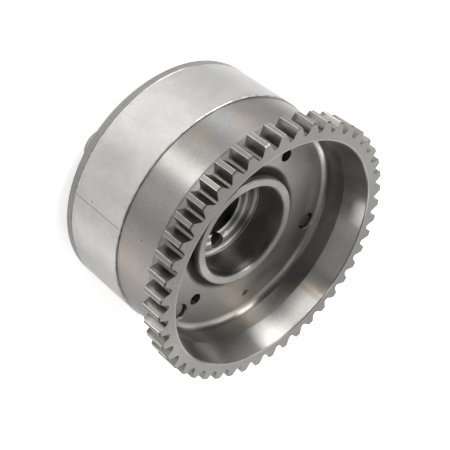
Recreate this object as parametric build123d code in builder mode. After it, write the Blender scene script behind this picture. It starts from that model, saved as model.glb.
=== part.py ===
# Camshaft phaser: a toothed bell, a stator and a cover screwed together, with a vane rotor that turns
# inside them between stops. Millimetres and degrees. Z = 0 is the plane that the screw heads stand on,
# +Z points to the camshaft side, and the first clamp screw is on +X.

import math
import os

from build123d import *

os.makedirs("parts", exist_ok=True)

# Toothed rim for an inverted-tooth chain
teeth = 46
chain_pitch = 6.35
tooth_depth = 3.4
tooth_width = 7.9
tooth_edge = 0.35
gap_flank_angle = 28.0
gap_floor = 1.26
gap_floor_radius = 0.9
first_gap_angle = 2.62

# Bell that carries the rim: cup, base and hub tube
rim_wall = 3.05
rim_blend_radius = 6.0
rim_blend_drop = 0.27
cone_rise = 2.0
cone_depth = 8.8
cup_depth = 17.3
cup_fillet = 2.4
bell_wall = 3.2
base_thickness = 10.1
bell_edge = 0.3
journal_radius = 16.64
hub_wall = 3.0
hub_rise = 2.55
hub_edge = 0.4
relief_floor = 1.2
relief_slope = 1.7
relief_depth = 1.6
relief_fillet = 0.5
relief_blend = 1.5

# Stator with an inward lobe under each clamp screw
seam_step = 0.6
stator_length = 23.0
stator_wall = 5.0
stator_edge = 0.25
lobe_half_angle = 17.0
lobe_root_fillet = 1.0

# Cover plate
cover_thickness = 3.4
cover_bevel = 0.85
cover_opening_gap = 1.5
cover_opening_edge = 0.5

# Clamp screws: three equal steps, and a wider one over the wide vane
screw_step = 81.6
screw_inset = 8.6
screw_radius = 3.0
screw_gap = 0.3
thread_gap = 0.02
thread_mouth = 0.38
screw_end_depth = 1.2
screw_end_chamfer = 0.5
head_radius = 6.2
head_height = 2.9
head_edge = 0.3
socket_radius = 2.05
socket_lobe_radius = 0.55
socket_depth = 1.9

# Locating dowels, one on each side of the axis, a little inwards of the middle of their lobes
dowel_edge_angle = 6.8
dowel_inset = 0.96
dowel_radius = 2.1
dowel_gap = 0.03
dowel_in_stator = 8.0
dowel_in_bell = 3.0
dowel_chamfer = 0.4

# Vane rotor
phase_range = 30.0
stop_gap_angle = 0.6
narrow_vane_relief_angle = 0.6
end_play = 0.1
tip_gap = 0.3
rotor_hub_radius = 23.0
vane_root_fillet = 0.8
corner_relief = 0.4
seat_depth = 0.5
bolt_bore_radius = 10.45
bore_cone_rise = 2.45
bore_cone_depth = 1.6
bolt_seat_width = 3.05
bolt_seat_depth = 1.0
pocket_angle = 130.1
pocket_radius = 2.6
pocket_offset = 2.4
pocket_depth = 5.0
oil_groove_depth = 1.0
oil_groove_width = 3.0
oil_groove_offset = 3.2
oil_slot_width = 2.5
oil_slot_drop = 0.2
oil_slot_wall = 0.3
oil_hole_radius = 1.2
oil_hole_angle = 4.5

# Seals in the tips of the vanes and lobes, each on a bowed leaf spring
seal_width = 2.0
seal_height = 2.4
seal_gap = 0.05
seal_room = 1.0
seal_end_gap = 0.15
seal_chamfer = 0.2
wide_vane_seal_angle = 16.0
lobe_seal_angle = 4.0
leaf_thickness = 0.25
leaf_width = 1.5
leaf_length = 18.0
leaf_gap = 0.02

# Locking pin, its spring and what they stand on
lock_depth = 3.0
pin_stroke = 3.2
pin_front_radius = 3.9
pin_wall = 0.8
pin_foot_step = 1.0
pin_foot_height = 5.0
pin_gap = 0.03
pin_tip_chamfer = 0.5
pin_tip_wall = 4.0
pin_stop_gap = 0.2
pin_foot_edge = 0.3
spring_wire_radius = 0.35
spring_pocket_gap = 0.3
spring_turns = 8
spring_seat_lip = 1.0
spring_seat_thickness = 1.2
spring_seat_gap = 0.03
vent_radius = 0.8
bush_wall = 2.0
bush_height = 5.0
bush_hole_gap = 0.1
bush_gap = 0.02

# Radii that follow, from the teeth inwards
tip_radius = chain_pitch * (1 / math.tan(math.pi / teeth) + 0.08) / 2
root_radius = tip_radius - tooth_depth
rim_radius = root_radius - rim_wall
cup_radius = rim_radius - cone_rise
bell_radius = cup_radius + bell_wall
stator_radius = bell_radius + seam_step
chamber_radius = stator_radius - stator_wall
lobe_tip_radius = rotor_hub_radius + tip_gap
vane_tip_radius = chamber_radius - tip_gap
screw_circle = stator_radius - screw_inset
hub_radius = journal_radius + hub_wall
bore_cone_radius = bolt_bore_radius + bore_cone_rise
bolt_seat_radius = bolt_bore_radius + bolt_seat_width
cover_opening_radius = bolt_seat_radius + cover_opening_gap
pocket_circle = bolt_bore_radius + pocket_offset
oil_floor_radius = bolt_bore_radius + oil_groove_depth
tapped_radius = screw_radius + thread_gap
screw_hole_radius = screw_radius + screw_gap
dowel_hole_radius = dowel_radius + dowel_gap
dowel_circle = (lobe_tip_radius + screw_circle) / 2 - dowel_inset
pin_circle = (rotor_hub_radius + vane_tip_radius) / 2
pin_foot_radius = pin_front_radius + pin_foot_step
spring_pocket_radius = pin_front_radius - pin_wall
spring_seat_radius = pin_foot_radius + spring_seat_lip
bush_bore_radius = pin_front_radius + bush_hole_gap
bush_radius = bush_bore_radius + bush_wall
lobe_tip_fillet = vane_root_fillet + corner_relief
vane_tip_fillet = lobe_root_fillet + corner_relief
slot_half_width = seal_width / 2 + seal_gap
vane_seal_radius = chamber_radius - seal_gap
vane_seal_back = vane_seal_radius - seal_height
vane_slot_floor = vane_seal_back - seal_room
lobe_seal_radius = rotor_hub_radius + seal_gap
lobe_seal_back = lobe_seal_radius + seal_height
lobe_slot_floor = lobe_seal_back + seal_room

# Heights that follow, from the screw heads up
cover_z = head_height
stator_z = cover_z + cover_thickness
bell_z = stator_z + stator_length
base_z = bell_z + base_thickness
hub_z = base_z + hub_rise
rim_z = base_z + cup_depth
tooth_z = rim_z - tooth_width
rotor_z = stator_z + end_play
rotor_top_z = bell_z - end_play
rotor_length = rotor_top_z - rotor_z
rotor_middle_z = (rotor_z + rotor_top_z) / 2
seat_z = rotor_top_z - seat_depth
cone_z = seat_z - bore_cone_depth
oil_groove_z = rotor_middle_z - oil_groove_offset
oil_slot_z = cone_z - oil_slot_drop - oil_slot_width / 2
spring_z = rotor_z + spring_seat_thickness
pin_z = spring_z + pin_stop_gap + pin_stroke
pin_shoulder_z = pin_z + pin_foot_height
bore_shoulder_z = pin_shoulder_z + lock_depth + pin_stop_gap
pin_pocket_z = rotor_top_z - pin_tip_wall

# Angles that follow
wide_step = 360 - 3 * screw_step
screw_angles = [0, screw_step, screw_step + wide_step, 2 * screw_step + wide_step]
dowel_angle = screw_angles[3] - lobe_half_angle + dowel_edge_angle
dowel_angles = [dowel_angle - 180, dowel_angle]
wide_vane_angle = screw_step + wide_step / 2
narrow_vane_angles = [screw_step / 2, 360 - 1.5 * screw_step, 360 - 0.5 * screw_step]
half_travel = lobe_half_angle + phase_range / 2 + stop_gap_angle
locked_angle = wide_vane_angle - phase_range / 2
wide_vane_half_angle = wide_step / 2 - half_travel
narrow_vane_half_angle = screw_step / 2 - half_travel - narrow_vane_relief_angle
vane_seal_angles = [narrow_vane_angles[0], wide_vane_angle + wide_vane_seal_angle] + narrow_vane_angles[1:]
# The oil slot stops a wall short of the pocket on both sides
slot_tip_reach = pocket_radius + oil_slot_wall
slot_tip_cosine = pocket_circle**2 + oil_floor_radius**2 - slot_tip_reach**2
slot_tip_angle = math.degrees(math.acos(slot_tip_cosine / (2 * pocket_circle * oil_floor_radius)))
slot_end_angle = slot_tip_angle + math.degrees(math.asin(oil_slot_width / 2 / oil_floor_radius))
# A seal keeps clear of the dowel in the same lobe
lobe_seal_angles = [
    screw_angles[0],
    screw_angles[1] - lobe_seal_angle,
    screw_angles[2],
    screw_angles[3] + lobe_seal_angle,
]


# Places on a circle at a height, each turned so that its own X points outwards
def around(radius, angles, height=0):
    places = []
    for angle in angles:
        turn = math.radians(angle)
        centre = (radius * math.cos(turn), radius * math.sin(turn), height)
        places.append(Location(centre, (0, 0, angle)))
    return Locations(*places)


# A plane through the axis: its X points outwards at the angle and its Y points up
def radial_plane(angle):
    turn = math.radians(angle)
    outwards = (math.cos(turn), math.sin(turn), 0)
    sideways = (math.sin(turn), -math.cos(turn), 0)
    return Plane((0, 0, 0), x_dir=outwards, z_dir=sideways)


# A ring sector between two radii
def sector(inner_radius, outer_radius, middle_angle, half_angle):
    start = middle_angle - half_angle
    with BuildSketch() as shape:
        with BuildLine():
            inner = CenterArc((0, 0), inner_radius, start, 2 * half_angle)
            outer = CenterArc((0, 0), outer_radius, start, 2 * half_angle)
            Line(inner @ 0, outer @ 0)
            Line(inner @ 1, outer @ 1)
        make_face()
    return shape.sketch


# The corners of a sketch that lie on a circle about the axis
def corners_at(sketch, radius):
    return [corner for corner in sketch.vertices() if abs(math.hypot(corner.X, corner.Y) - radius) < 0.01]


# The round edges of a piece that have a radius and lie at a height
def edges_at(piece, radius, height):
    rounds = piece.edges().filter_by(GeomType.CIRCLE)
    return [edge for edge in rounds if abs(edge.radius - radius) < 0.01 and abs(edge.center().Z - height) < 0.01]


def save(piece, label):
    piece.part.label = label
    export_step(piece.part, f"parts/{label}.step")


# One gap between two teeth: a V with a round floor
mouth_radius = tip_radius + 1
mouth_half = gap_floor / 2 + (mouth_radius - root_radius) * math.tan(math.radians(gap_flank_angle))
with BuildSketch() as gap:
    Polygon(
        (root_radius, -gap_floor / 2),
        (mouth_radius, -mouth_half),
        (mouth_radius, mouth_half),
        (root_radius, gap_floor / 2),
        align=None,
    )
    fillet(gap.vertices().sort_by(Axis.X)[:2], gap_floor_radius)

# Bell: turned in one with the rim, then toothed, drilled and tapped
blend_turn = math.acos(1 - (root_radius - rim_blend_drop - bell_radius) / rim_blend_radius)
blend_z = tooth_z - rim_blend_radius * math.sin(blend_turn)
with BuildPart() as bell:
    with BuildSketch(Plane.XZ):
        with BuildLine():
            inside = FilletPolyline(
                (journal_radius + bell_edge, bell_z),
                (journal_radius, bell_z + bell_edge),
                (journal_radius, hub_z - hub_edge),
                (journal_radius + hub_edge, hub_z),
                (hub_radius - hub_edge, hub_z),
                (hub_radius, hub_z - hub_edge),
                (hub_radius, base_z - relief_depth),
                (hub_radius + relief_floor, base_z - relief_depth),
                (hub_radius + relief_floor + relief_slope, base_z),
                (cup_radius, base_z),
                (cup_radius, rim_z - cone_depth),
                (rim_radius, rim_z - bell_edge),
                (rim_radius + bell_edge, rim_z),
                radius=[0, 0, 0, 0, 0, relief_fillet, relief_blend, relief_blend, cup_fillet, 0, 0],
            )
            rim = Polyline(
                inside @ 1,
                (tip_radius - tooth_edge, rim_z),
                (tip_radius, rim_z - tooth_edge),
                (tip_radius, tooth_z + tooth_edge),
                (tip_radius - tooth_edge, tooth_z),
                (root_radius - rim_blend_drop, tooth_z),
            )
            blend = RadiusArc(rim @ 1, (bell_radius, blend_z), rim_blend_radius)
            Polyline(
                blend @ 1,
                (bell_radius, bell_z + bell_edge),
                (bell_radius - bell_edge, bell_z),
                inside @ 0,
            )
        make_face()
    revolve(axis=Axis.Z)
    with BuildSketch(Plane.XY.offset(tooth_z)):
        with around(0, [first_gap_angle + 360 * tooth / teeth for tooth in range(teeth)]):
            add(gap.sketch)
    extrude(amount=tooth_width, mode=Mode.SUBTRACT)
    with around(screw_circle, screw_angles, base_z):
        CounterSinkHole(tapped_radius, screw_radius + thread_mouth, depth=base_thickness, counter_sink_angle=90)
    with around(dowel_circle, dowel_angles, base_z):
        Hole(dowel_hole_radius, depth=base_thickness)
    with BuildSketch(Plane.XY.offset(bell_z)):
        with around(pin_circle, [locked_angle]):
            Circle(bush_radius)
    extrude(amount=bush_height, mode=Mode.SUBTRACT)
save(bell, "sprocket_bell")

# Stator: a ring with four lobes that reach in to the rotor's hub
with BuildPart() as stator:
    with BuildSketch(Plane.XY.offset(stator_z)) as stator_shape:
        Circle(stator_radius)
        Circle(chamber_radius, mode=Mode.SUBTRACT)
        for angle in screw_angles:
            add(sector(lobe_tip_radius, chamber_radius + stator_wall / 2, angle, lobe_half_angle))
        fillet(corners_at(stator_shape, chamber_radius), lobe_root_fillet)
        fillet(corners_at(stator_shape, lobe_tip_radius), lobe_tip_fillet)
        with around((lobe_slot_floor + rotor_hub_radius) / 2, lobe_seal_angles):
            Rectangle(lobe_slot_floor - rotor_hub_radius, 2 * slot_half_width, mode=Mode.SUBTRACT)
        with around(screw_circle, screw_angles):
            Circle(screw_hole_radius, mode=Mode.SUBTRACT)
    extrude(amount=stator_length)
    chamfer(edges_at(stator, stator_radius, stator_z), stator_edge)
    chamfer(edges_at(stator, stator_radius, bell_z), stator_edge)
    with around(dowel_circle, dowel_angles, bell_z):
        Hole(dowel_hole_radius, depth=dowel_in_stator)
save(stator, "stator_ring")

# Cover: a plate with a round opening for the central bolt
with BuildPart() as cover:
    with BuildSketch(Plane.XY.offset(cover_z)):
        Circle(stator_radius)
        Circle(cover_opening_radius, mode=Mode.SUBTRACT)
        with around(screw_circle, screw_angles):
            Circle(screw_hole_radius, mode=Mode.SUBTRACT)
    extrude(amount=cover_thickness)
    chamfer(edges_at(cover, stator_radius, cover_z), cover_bevel)
    chamfer(edges_at(cover, stator_radius, stator_z), stator_edge)
    chamfer(edges_at(cover, cover_opening_radius, cover_z), cover_opening_edge)
    chamfer(edges_at(cover, cover_opening_radius, stator_z), cover_opening_edge)
save(cover, "cover_plate")

# Clamp screws: low round heads with a six-lobed socket, and shanks that end inside the base
with BuildPart() as screws:
    with BuildSketch():
        with around(screw_circle, screw_angles):
            Circle(head_radius)
    extrude(amount=head_height)
    fillet(edges_at(screws, head_radius, 0), head_edge)
    with BuildSketch(Plane.XY.offset(cover_z)):
        with around(screw_circle, screw_angles):
            Circle(screw_radius)
    extrude(amount=base_z - screw_end_depth - cover_z)
    chamfer(edges_at(screws, screw_radius, base_z - screw_end_depth), screw_end_chamfer)
    with BuildSketch():
        with around(screw_circle, screw_angles):
            Circle(socket_radius)
            with PolarLocations(socket_radius, 6):
                Circle(socket_lobe_radius)
    extrude(amount=socket_depth, mode=Mode.SUBTRACT)
save(screws, "clamp_screws")

# Dowels: pressed into the stator, and into the plain holes of the base
dowel_z = bell_z - dowel_in_stator
dowel_top_z = bell_z + dowel_in_bell
with BuildPart() as dowels:
    with BuildSketch(Plane.XY.offset(dowel_z)):
        with around(dowel_circle, dowel_angles):
            Circle(dowel_radius)
    extrude(amount=dowel_top_z - dowel_z)
    chamfer(edges_at(dowels, dowel_radius, dowel_z), dowel_chamfer)
    chamfer(edges_at(dowels, dowel_radius, dowel_top_z), dowel_chamfer)
save(dowels, "locating_dowels")

# Bush in the base, which the locking pin drops into when the rotor is fully back
with BuildPart() as bush:
    with BuildSketch(Plane.XY.offset(bell_z)):
        with around(pin_circle, [locked_angle]):
            Circle(bush_radius - bush_gap)
            Circle(bush_bore_radius, mode=Mode.SUBTRACT)
    extrude(amount=bush_height)
    chamfer(edges_at(bush, bush_bore_radius, bell_z), pin_tip_chamfer)
save(bush, "lock_seat_bush")

# Oil slot in the rotor's bore: it runs round to both sides of the pocket and has round ends
slot_ends = [pocket_angle + slot_end_angle, pocket_angle - slot_end_angle]
with BuildPart() as oil_slot:
    with BuildSketch(radial_plane(slot_ends[0])):
        with Locations((bolt_bore_radius, oil_slot_z)):
            Rectangle(2 * oil_groove_depth, oil_slot_width)
    revolve(axis=Axis.Z, revolution_arc=360 - 2 * slot_end_angle)
    for angle in slot_ends:
        turn = math.radians(angle)
        outwards = Vector(math.cos(turn), math.sin(turn), 0)
        middle = outwards * bolt_bore_radius + Vector(0, 0, oil_slot_z)
        with Locations(Plane(middle, z_dir=outwards).location):
            Cylinder(oil_slot_width / 2, 4 * oil_groove_depth)
    with BuildSketch(Plane.XY.offset(oil_slot_z)):
        Circle(oil_floor_radius)
    extrude(amount=oil_slot_width, both=True, mode=Mode.INTERSECT)

# Rotor: a hub with three narrow vanes and a wide one that holds the locking pin
with BuildPart() as rotor:
    with BuildSketch(Plane.XY.offset(rotor_z)) as rotor_shape:
        Circle(rotor_hub_radius)
        root = rotor_hub_radius / 2
        for angle in narrow_vane_angles:
            add(sector(root, vane_tip_radius, angle, narrow_vane_half_angle))
        add(sector(root, vane_tip_radius, wide_vane_angle, wide_vane_half_angle))
        fillet(corners_at(rotor_shape, rotor_hub_radius), vane_root_fillet)
        fillet(corners_at(rotor_shape, vane_tip_radius), vane_tip_fillet)
        with around((vane_slot_floor + chamber_radius) / 2, vane_seal_angles):
            Rectangle(chamber_radius - vane_slot_floor, 2 * slot_half_width, mode=Mode.SUBTRACT)
    extrude(amount=rotor_length)
    with BuildSketch(Plane.XZ):
        Polygon(
            (0, rotor_z),
            (bolt_seat_radius, rotor_z),
            (bolt_seat_radius, rotor_z + bolt_seat_depth),
            (bolt_bore_radius, rotor_z + bolt_seat_depth),
            (bolt_bore_radius, cone_z),
            (bore_cone_radius, seat_z),
            (journal_radius, seat_z),
            (journal_radius, rotor_top_z),
            (0, rotor_top_z),
            align=None,
        )
        with Locations((bolt_bore_radius, oil_groove_z)):
            Rectangle(2 * oil_groove_depth, oil_groove_width)
    revolve(axis=Axis.Z, mode=Mode.SUBTRACT)
    add(oil_slot.part, mode=Mode.SUBTRACT)
    with around(pocket_circle, [pocket_angle], seat_z):
        Hole(pocket_radius, depth=pocket_depth)
    with around(pin_circle, [wide_vane_angle], rotor_top_z):
        Hole(pin_front_radius + pin_gap, depth=rotor_length)
    with around(pin_circle, [wide_vane_angle], bore_shoulder_z):
        Hole(pin_foot_radius + pin_gap, depth=bore_shoulder_z - rotor_z)
    with around(pin_circle, [wide_vane_angle], spring_z):
        Hole(spring_seat_radius + spring_seat_gap, depth=spring_seat_thickness)
    # Oil reaches one side of each vane from the groove, and the other side from the slot
    vanes = [(angle, narrow_vane_half_angle) for angle in narrow_vane_angles]
    vanes.append((wide_vane_angle, wide_vane_half_angle))
    for angle, half_angle in vanes:
        for height, side in ((oil_groove_z, -1), (oil_slot_z, 1)):
            turn = math.radians(angle + side * (half_angle + oil_hole_angle))
            outwards = Vector(math.cos(turn), math.sin(turn), 0)
            start = outwards * (rotor_hub_radius + oil_hole_radius) + Vector(0, 0, height)
            with Locations(Plane(start, z_dir=outwards).location):
                Hole(oil_hole_radius, depth=rotor_hub_radius + oil_hole_radius - bolt_bore_radius)
save(rotor, "vane_rotor")


# A bar seal: flat sides and back, and a face that follows the wall or the hub that it rides on
def seal(angle, face_radius, back_radius, low_z, length):
    outer = max(face_radius, back_radius)
    inner = min(face_radius, back_radius)
    with BuildPart() as bar:
        with BuildSketch(Plane.XY.offset(low_z)):
            with around((outer + inner) / 2, [angle]):
                Rectangle(outer - inner + seal_height / 2, seal_width)
            if face_radius > back_radius:
                Circle(face_radius, mode=Mode.INTERSECT)
                with around(back_radius - seal_height / 2, [angle]):
                    Rectangle(seal_height, 2 * seal_width, mode=Mode.SUBTRACT)
            else:
                Circle(face_radius, mode=Mode.SUBTRACT)
                with around(back_radius + seal_height / 2, [angle]):
                    Rectangle(seal_height, 2 * seal_width, mode=Mode.SUBTRACT)
        extrude(amount=length)
    return bar


# A leaf spring behind a seal: its middle stands on the slot's floor and its ends press on the seal
def leaf(angle, floor_radius, back_radius, middle_z):
    way = math.copysign(1, back_radius - floor_radius)
    middle = floor_radius + way * leaf_gap
    ends = back_radius - way * (leaf_gap + leaf_thickness)
    low = middle_z - leaf_length / 2
    high = middle_z + leaf_length / 2
    skin = way * leaf_thickness
    with BuildPart() as strip:
        with BuildSketch(radial_plane(angle)):
            with BuildLine():
                ThreePointArc((ends, low), (middle, middle_z), (ends, high))
                ThreePointArc((ends + skin, low), (middle + skin, middle_z), (ends + skin, high))
                Line((ends, low), (ends + skin, low))
                Line((ends, high), (ends + skin, high))
            make_face()
        extrude(amount=leaf_width / 2, both=True)
    return strip


for number, angle in enumerate(vane_seal_angles, start=1):
    low_z = rotor_z + seal_end_gap
    save(
        seal(angle, vane_seal_radius, vane_seal_back, low_z, rotor_length - 2 * seal_end_gap),
        f"vane_seal_{number}",
    )
    save(leaf(angle, vane_slot_floor, vane_seal_back, rotor_middle_z), f"vane_seal_spring_{number}")
for number, angle in enumerate(lobe_seal_angles, start=1):
    low_z = stator_z + seal_end_gap
    save(
        seal(angle, lobe_seal_radius, lobe_seal_back, low_z, stator_length - 2 * seal_end_gap),
        f"lobe_seal_{number}",
    )
    save(leaf(angle, lobe_slot_floor, lobe_seal_back, rotor_middle_z), f"lobe_seal_spring_{number}")

# Locking pin: hollow, with a wide foot that slides in the lower part of its bore
with BuildPart() as pin:
    with BuildSketch(Plane.XY.offset(pin_z)):
        with around(pin_circle, [wide_vane_angle]):
            Circle(pin_foot_radius)
    extrude(amount=pin_foot_height)
    with BuildSketch(Plane.XY.offset(pin_shoulder_z)):
        with around(pin_circle, [wide_vane_angle]):
            Circle(pin_front_radius)
    extrude(amount=rotor_top_z - pin_shoulder_z)
    with BuildSketch(Plane.XY.offset(pin_z)):
        with around(pin_circle, [wide_vane_angle]):
            Circle(spring_pocket_radius)
    extrude(amount=pin_pocket_z - pin_z, mode=Mode.SUBTRACT)
    chamfer(edges_at(pin, pin_front_radius, rotor_top_z), pin_tip_chamfer)
    chamfer(edges_at(pin, pin_foot_radius, pin_z), pin_foot_edge)
    chamfer(edges_at(pin, pin_foot_radius, pin_shoulder_z), pin_foot_edge)
save(pin, "locking_pin")

# Coil spring from its seat up into the pin
coil_radius = spring_pocket_radius - spring_pocket_gap - spring_wire_radius
coil_z = spring_z + spring_wire_radius
coil_height = pin_pocket_z - spring_wire_radius - coil_z
pin_turn = math.radians(wide_vane_angle)
coil_centre = (pin_circle * math.cos(pin_turn), pin_circle * math.sin(pin_turn), coil_z)
with BuildPart() as spring:
    with BuildLine() as coil:
        Helix(coil_height / spring_turns, coil_height, coil_radius, center=coil_centre)
    with BuildSketch(Plane(coil.line @ 0, z_dir=coil.line % 0)):
        Circle(spring_wire_radius)
    sweep(is_frenet=True)
save(spring, "lock_spring")

# Seat that the spring stands on, let into the rotor's lower face, with a vent
with BuildPart() as spring_seat:
    with BuildSketch(Plane.XY.offset(rotor_z)):
        with around(pin_circle, [wide_vane_angle]):
            Circle(spring_seat_radius)
            Circle(vent_radius, mode=Mode.SUBTRACT)
    extrude(amount=spring_seat_thickness)
save(spring_seat, "lock_spring_seat")
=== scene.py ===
import bpy
import math
import numpy as np
from mathutils import Matrix

# Camshaft phaser with a chain sprocket, standing on its screw heads with the toothed rim up.
# The scene is in metres, in the frame of the CAD parts. Finishes measure in mm and in degrees about the axis.

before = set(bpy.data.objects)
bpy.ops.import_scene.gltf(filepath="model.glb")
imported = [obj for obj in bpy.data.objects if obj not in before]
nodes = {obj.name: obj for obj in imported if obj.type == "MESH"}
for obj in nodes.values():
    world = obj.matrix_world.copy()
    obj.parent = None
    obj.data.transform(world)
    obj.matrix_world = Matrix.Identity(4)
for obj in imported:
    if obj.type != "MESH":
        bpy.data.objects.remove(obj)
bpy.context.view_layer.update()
print("frame loaded:", len(nodes), "CAD pieces")

# The CAD part's own measures in mm, which the finishes line up with
part = {
    "tipRadius": 46.67, "rootRadius": 43.27, "rimRadius": 40.22, "cupRadius": 38.22, "bellRadius": 41.42,
    "statorRadius": 42.02, "hubRadius": 19.64, "boreRadius": 16.64, "rimChamfer": 0.3,
    # rear ends of the cover, stator, bell, cone and teeth, and front faces of the base, hub and rim
    "coverZ": 2.9, "statorZ": 6.3, "bellZ": 29.3, "coneZ": 47.9, "toothZ": 48.8,
    "baseZ": 39.4, "hubZ": 41.95, "rimZ": 56.7,
    # counts of teeth and vanes, then the turn of the first gap and half a tooth's land, in degrees
    "teeth": 46, "vanes": 4, "firstGap": 2.62, "landHalf": 0.959,
}


# camera
cameraSet = {
    "place": (0.2812427742, -0.0543295782, 0.2281264884),
    "right": (-0.55577, -0.51239, 0.65466),
    "up": (0.18075, -0.84311, -0.50644),
    "back": (0.81145, -0.16313, 0.56119),
    "lens": 85.89, "sensor": 36.0, "near": 0.02, "far": 20.0,
}


def placingMatrix(*columns):
    # columns: right, up, back and place
    return Matrix([[float(c[row]) for c in columns] for row in range(3)] + [[0, 0, 0, 1]])


def makeCamera(s):
    data = bpy.data.cameras.new("photoCamera")
    data.lens, data.sensor_width = s["lens"], s["sensor"]
    data.clip_start, data.clip_end = s["near"], s["far"]
    camera = bpy.data.objects.new("photoCamera", data)
    bpy.context.scene.collection.objects.link(camera)
    camera.matrix_world = placingMatrix(s["right"], s["up"], s["back"], s["place"])
    bpy.context.scene.camera = camera


# light: the pale surroundings and the soft boxes, all of which face a point on the axis
lightSet = {
    "world": (0.97, 0.98, 1.0), "worldStrength": 0.25, "aimHeight": 0.04,
    # turn about the axis, angle above level, distance, width, height, brightness, colour
    "softBoxes": {
        "keyBox": (-68, 6, 1.2, 0.84, 0.12, 20.0, (1.0, 0.985, 0.965)),
        "brightStrip": (-31, 6, 1.2, 0.70, 0.12, 18.0, (1.0, 0.99, 0.97)),
        "dimBox": (-105, 6, 1.2, 0.55, 0.12, 3.5, (1.0, 1.0, 1.0)),
        "glint": (-21, 0.2, 1.2, 0.36, 0.06, 80.0, (1.0, 0.97, 0.92)),
        "cupBox": (-74, 26, 1.2, 0.34, 0.56, 11.0, (1.0, 1.0, 1.0)),
        "lowStrip": (68, 3, 1.2, 0.45, 0.10, 18.0, (1.0, 1.0, 1.0)),
        "frontPanel": (35, 13, 1.25, 1.60, 0.35, 1.6, (1.0, 1.0, 1.0)),
        "backPanel": (175, 36, 1.2, 1.80, 1.10, 1.5, (1.0, 0.995, 0.98)),
        "topBox": (-110, 50, 1.3, 0.50, 0.70, 3.0, (1.0, 1.0, 1.0)),
        "ringBox": (132, 31, 1.2, 0.26, 0.16, 7.5, (1.0, 0.99, 0.97)),
        "overhead": (-11, 84, 1.3, 0.32, 0.32, 2.0, (1.0, 1.0, 1.0)),
    },
}


def makeLights(s):
    world = bpy.data.worlds.new("studio")
    world.use_nodes = True
    background = world.node_tree.nodes["Background"]
    background.inputs["Color"].default_value = (*s["world"], 1.0)
    background.inputs["Strength"].default_value = s["worldStrength"]
    bpy.context.scene.world = world
    aim = np.array([0.0, 0.0, s["aimHeight"]])
    for name, (turn, rise, distance, width, height, brightness, colour) in s["softBoxes"].items():
        data = bpy.data.lights.new(name, "AREA")
        data.shape, data.size, data.size_y = "RECTANGLE", width, height
        # A larger box gives more power, so that its surface stays as bright
        data.energy, data.color = brightness * np.pi * width * height, colour
        lamp = bpy.data.objects.new(name, data)
        bpy.context.scene.collection.objects.link(lamp)
        lamp.visible_camera = False
        around, tilt = np.radians(turn), np.radians(rise)
        away = np.array([np.cos(tilt) * np.cos(around), np.cos(tilt) * np.sin(around), np.sin(tilt)])
        side = np.array([-np.sin(around), np.cos(around), 0.0])
        lamp.matrix_world = placingMatrix(side, np.cross(away, side), away, away * distance + aim)


makeCamera(cameraSet)
makeLights(lightSet)
scene = bpy.context.scene
scene.view_settings.view_transform = "Standard"
scene.view_settings.look = "None"
print("camera and lights set")


# node helpers
class Tree:
    # A short way to add and join nodes in a material or a group
    def __init__(self, tree):
        self.tree = tree

    def give(self, value, socket):
        # value: another node's output, or a number or colour for the socket itself
        if isinstance(value, bpy.types.NodeSocket):
            self.tree.links.new(value, socket)
        else:
            socket.default_value = value

    def add(self, kind, values, **settings):
        node = self.tree.nodes.new(kind)
        for name, value in settings.items():
            setattr(node, name, value)
        for name, value in values.items():
            self.give(value, node.inputs[name])
        return node

    def group(self, tree, values):
        return self.add("ShaderNodeGroup", values, node_tree=tree).outputs

    def math(self, operation, a, b=0.0, c=0.0):
        return self.add("ShaderNodeMath", {0: a, 1: b, 2: c}, operation=operation).outputs[0]

    def times(self, first, *others):
        for other in others:
            first = self.math("MULTIPLY", first, other)
        return first

    def sum(self, base, *parts):
        # base plus each part's value times its share
        for value, share in parts:
            base = self.math("MULTIPLY_ADD", value, share, base)
        return base

    def apart(self, a, b):
        return self.math("ABSOLUTE", self.math("SUBTRACT", a, b))

    def length(self, x, y):
        flat = self.add("ShaderNodeCombineXYZ", {0: x, 1: y}).outputs[0]
        return self.add("ShaderNodeVectorMath", {0: flat}, operation="LENGTH").outputs["Value"]

    def distance(self, a, b):
        return self.add("ShaderNodeVectorMath", {0: a, 1: b}, operation="DISTANCE").outputs["Value"]

    def stretch(self, vector, factors):
        return self.add("ShaderNodeVectorMath", {0: vector, 1: factors}, operation="MULTIPLY").outputs[0]

    def scale(self, vector, factor):
        return self.add("ShaderNodeVectorMath", {0: vector, "Scale": factor}, operation="SCALE").outputs[0]

    def smooth(self, value, low, high, out0=0.0, out1=1.0):
        # out0 up to low, out1 from high on, an S curve between
        values = {"Value": value, "From Min": low, "From Max": high, "To Min": out0, "To Max": out1}
        return self.add("ShaderNodeMapRange", values, interpolation_type="SMOOTHSTEP").outputs[0]

    def noise(self, vector, size, detail=2.0, roughness=0.5, distortion=0.0):
        values = {"Vector": vector, "Scale": size, "Detail": detail, "Roughness": roughness,
                  "Distortion": distortion}
        return self.add("ShaderNodeTexNoise", values).outputs[0]

    def blotches(self, vector, size, low, high, share=1.0, **pattern):
        # Noise made into blotches: none where it is under low, full where it is over high
        return self.smooth(self.noise(vector, size, **pattern), low, high, 0.0, share)

    def mix(self, share, a, b):
        return self.add("ShaderNodeMix", {0: share, 6: a, 7: b}, data_type="RGBA").outputs[2]

    def within(self, spot, limits):
        # Product of ramps along radius or height, each from 0 at the part's measure + none to 1 at it + full
        ramps = []
        for along, measure, none, full in limits:
            low, high = sorted((part[measure] + none, part[measure] + full))
            ends = (0.0, 1.0) if none < full else (1.0, 0.0)
            ramps.append(self.smooth(spot[along], low, high, *ends))
        return self.times(*ramps)


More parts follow.
